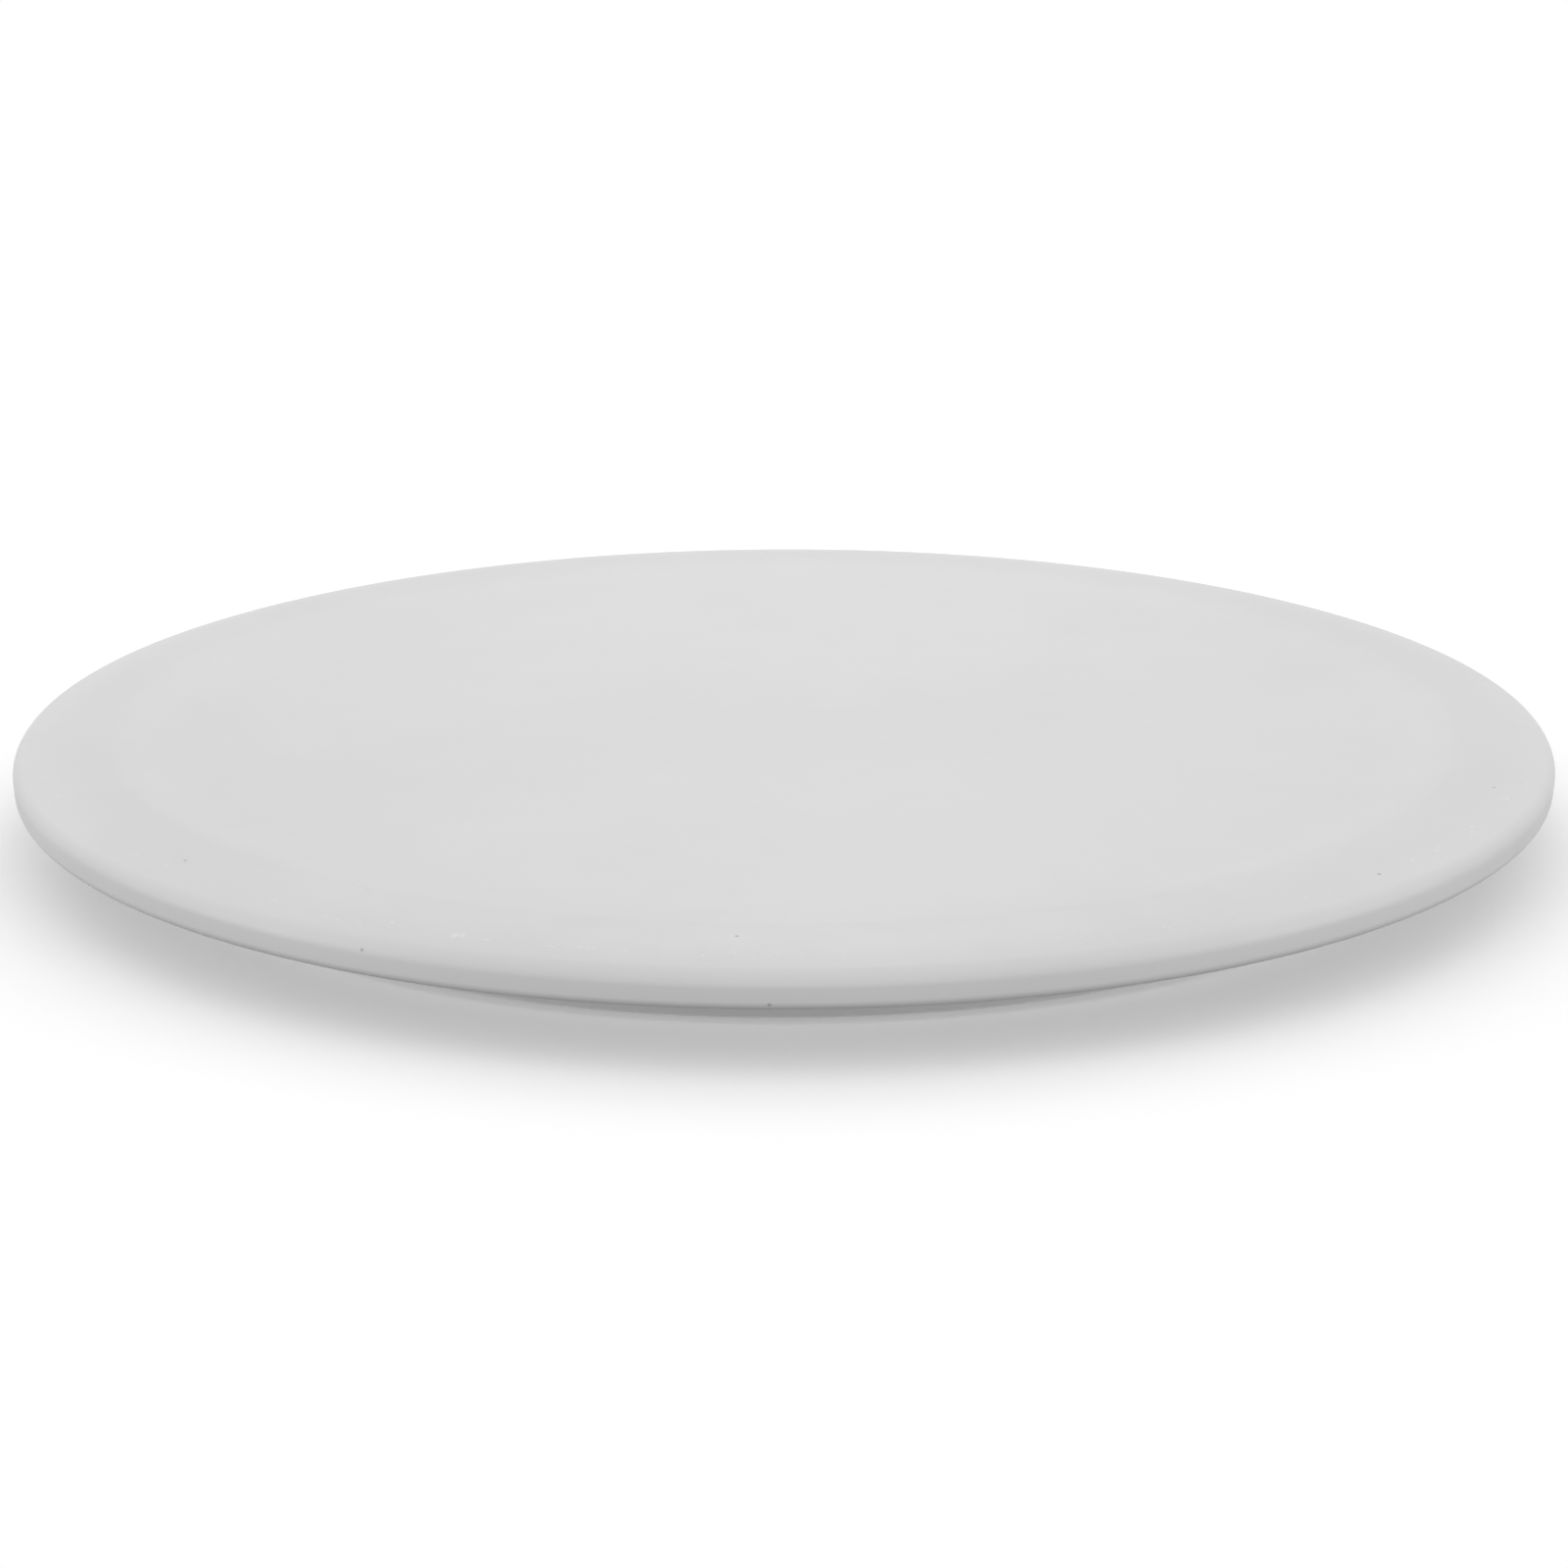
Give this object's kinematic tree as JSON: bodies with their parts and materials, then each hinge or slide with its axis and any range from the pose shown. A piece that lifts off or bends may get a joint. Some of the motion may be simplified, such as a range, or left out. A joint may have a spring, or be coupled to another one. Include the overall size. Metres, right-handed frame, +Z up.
{
  "type": "lazy susan turntable",
  "caption": "Round turntable with a dished platter and a soft raised rim that spins on a ball bearing over a low, wide base with rubber feet.",
  "frame": {"origin": "centre of the turning axis, on the plane that the feet stand on", "axes": "+Z up along the turning axis; X and Y lie in the plane of the feet, with foot_1 on +X"},
  "size_m": [0.457, 0.457, 0.0332],
  "materials": {
    "platter_plastic": "satin white moulded plastic with a very fine grain",
    "base_plastic": "satin white moulded plastic with a very fine grain",
    "foot_rubber": "grey rubber",
    "race_steel": "zinc-plated pressed steel",
    "ball_steel": "polished bearing steel",
    "cage_nylon": "natural nylon",
    "bush_acetal": "natural acetal",
    "screw_steel": "zinc-plated steel",
    "bolt_steel": "zinc-plated steel",
    "spring_steel": "blackened spring steel",
    "insert_brass": "turned brass"
  },
  "bodies": {
    "base": {"base_shell": "base_plastic", "base_race": "race_steel", "base_race_screws": "screw_steel", "hub_bush": "bush_acetal", "hub_cap": "base_plastic", "foot_1": "foot_rubber", "foot_2": "foot_rubber", "foot_3": "foot_rubber", "foot_4": "foot_rubber", "foot_5": "foot_rubber", "foot_6": "foot_rubber", "foot_7": "foot_rubber", "foot_8": "foot_rubber", "foot_washers": "screw_steel", "foot_screws": "screw_steel"},
    "cage": {"ball_cage": "cage_nylon", "bearing_balls": "ball_steel"},
    "platter": {"platter_shell": "platter_plastic", "platter_race": "race_steel", "platter_race_screws": "screw_steel", "pivot_insert": "insert_brass", "pivot_bolt": "bolt_steel", "thrust_washer": "bolt_steel", "disc_spring": "spring_steel"}
  },
  "joints": [
    {"name": "platter_spin", "type": "hinge", "parent": "base", "child": "platter", "pos_m": [0, 0, 0], "axis": [0, 0, 1], "continuous": true},
    {"name": "cage_orbit", "type": "hinge", "parent": "base", "child": "cage", "pos_m": [0, 0, 0], "axis": [0, 0, 1], "continuous": true}
  ],
  "couplings": [
    {"joint": "cage_orbit", "follows": "platter_spin", "ratio": 0.5}
  ]
}
